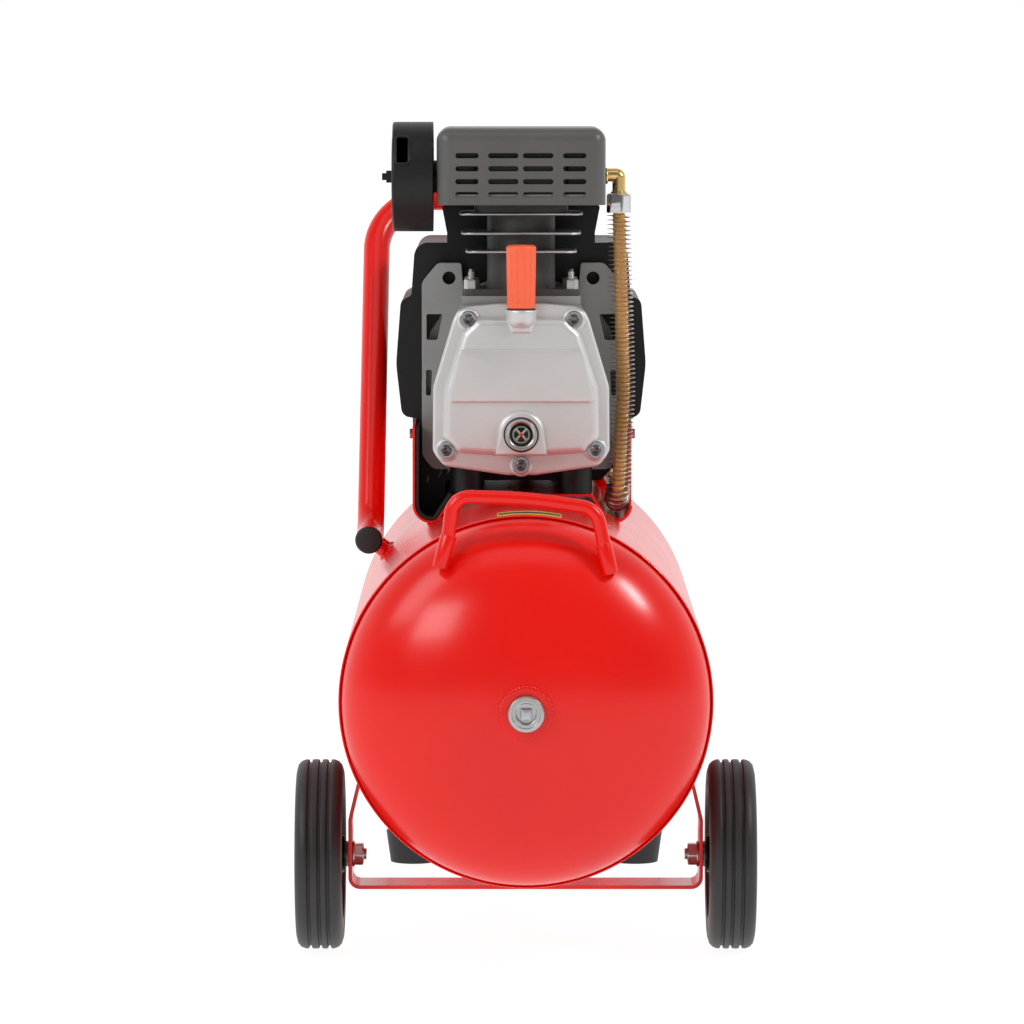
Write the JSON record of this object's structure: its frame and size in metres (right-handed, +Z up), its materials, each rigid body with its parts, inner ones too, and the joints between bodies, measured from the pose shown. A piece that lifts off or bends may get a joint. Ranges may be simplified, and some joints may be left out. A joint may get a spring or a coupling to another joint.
{
  "type": "air compressor",
  "caption": "Portable direct-driven piston air compressor on a horizontal tank with wheels, rubber feet and a one-sided push handle.",
  "frame": {"origin": "centre of the footprint on the floor, under the tank", "axes": "+X to the right seen from the wheel end, +Y along the tank away from the wheels, +Z up"},
  "size_m": [0.378, 0.776, 0.6738],
  "materials": {
    "red_paint": "gloss",
    "zinc": "satin",
    "rubber": "matt",
    "tyre": "matt",
    "cast_alu": "cast",
    "sight_glass": "clear",
    "orange_plastic": "satin",
    "cast_iron": "cast",
    "steel": "ground",
    "black_plastic": "moulded",
    "lamination": "stacked",
    "copper": "drawn",
    "red_plastic": "satin",
    "brass": "machined",
    "finned_alu": "dull",
    "gauge_face": "polished"
  },
  "bodies": {
    "frame_body": {"tank_shell": "red_paint", "tank_heads": "red_paint", "tank_weldments": "red_paint", "end_plugs": "zinc", "bail_handle": "red_paint", "wheel_bracket": "red_paint", "wheel_axles": "zinc", "rear_foot_bracket": "red_paint", "rubber_feet": "rubber", "foot_bolts": "zinc", "saddle": "red_paint", "shroud_screws": "zinc", "rubber_dampers": "rubber", "crankcase": "cast_alu", "crankcase_cover": "cast_alu", "cover_bolts": "zinc", "sight_glass": "sight_glass", "cylinder": "cast_iron", "cylinder_nuts": "zinc", "valve_plate": "steel", "cylinder_head": "cast_alu", "head_shroud": "black_plastic", "piston": "cast_alu", "wrist_pin": "steel", "connecting_rod": "cast_alu", "crank": "cast_iron", "bearings": "steel", "stator": "lamination", "windings": "copper", "end_bell": "cast_alu", "capacitor": "black_plastic", "motor_shroud": "black_plastic", "fan_cover": "black_plastic", "air_filter_body": "black_plastic", "air_filter_cover": "black_plastic", "discharge_elbow": "brass", "discharge_tube": "copper", "discharge_fins": "finned_alu", "check_valve": "brass", "manifold": "brass", "switch_box": "black_plastic", "gauge_case": "gauge_face", "drain_valve": "brass", "main_handle": "red_paint", "handle_plugs": "rubber"},
    "wheel_left": {"tyre_left": "tyre", "hub_left": "black_plastic"},
    "wheel_right": {"tyre_right": "tyre", "hub_right": "black_plastic"},
    "rotor_group": {"rotor": "lamination", "motor_shaft": "steel", "fan": "black_plastic"},
    "oil_cap": {"oil_plug": "orange_plastic"},
    "switch": {"switch_knob": "red_plastic"},
    "needle": {"gauge_needle": "red_plastic"},
    "regulator": {"regulator_knob": "black_plastic"},
    "cock": {"cock_lever": "red_plastic"},
    "relief_ring": {"safety_ring": "steel"},
    "drain": {"drain_knob": "brass"},
    "reset": {"reset_button": "red_plastic"}
  },
  "joints": [
    {"name": "wheel_left_spin", "type": "hinge", "parent": "frame_body", "child": "wheel_left", "pos_m": [-0.165, -0.2, 0.0775], "axis": [1, 0, 0], "continuous": true},
    {"name": "wheel_right_spin", "type": "hinge", "parent": "frame_body", "child": "wheel_right", "pos_m": [0.165, -0.2, 0.0775], "axis": [1, 0, 0], "continuous": true},
    {"name": "motor_spin", "type": "hinge", "parent": "frame_body", "child": "rotor_group", "pos_m": [-0.0036, 0.04, 0.462], "axis": [0, 1, 0], "continuous": true},
    {"name": "oil_plug_pull", "type": "slide", "parent": "frame_body", "child": "oil_cap", "axis": [0, 0, 1], "range_m": [0, 0.03]},
    {"name": "switch_knob_pull", "type": "slide", "parent": "frame_body", "child": "switch", "axis": [0, 0, 1], "range_m": [0, 0.008]},
    {"name": "gauge_needle_turn", "type": "hinge", "parent": "frame_body", "child": "needle", "pos_m": [0.03, 0.2835, 0.396], "axis": [0, 1, 0], "range_deg": [0, 270]},
    {"name": "regulator_turn", "type": "hinge", "parent": "frame_body", "child": "regulator", "pos_m": [0.085, 0.24, 0.396], "axis": [1, 0, 0], "range_deg": [0, 300]},
    {"name": "cock_lever_turn", "type": "hinge", "parent": "frame_body", "child": "cock", "pos_m": [-0.068, 0.24, 0.411], "axis": [0, 0, 1], "range_deg": [0, 90]},
    {"name": "safety_ring_pull", "type": "slide", "parent": "frame_body", "child": "relief_ring", "axis": [0, 0, 1], "range_m": [0, 0.003], "stiffness_N_per_m": 2000},
    {"name": "drain_knob_turn", "type": "hinge", "parent": "frame_body", "child": "drain", "pos_m": [0, 0.15, 0.035], "axis": [0, 0, 1], "range_deg": [0, 180]},
    {"name": "reset_press", "type": "slide", "parent": "frame_body", "child": "reset", "axis": [0, -1, 0], "range_m": [0, 0.002], "stiffness_N_per_m": 400}
  ]
}
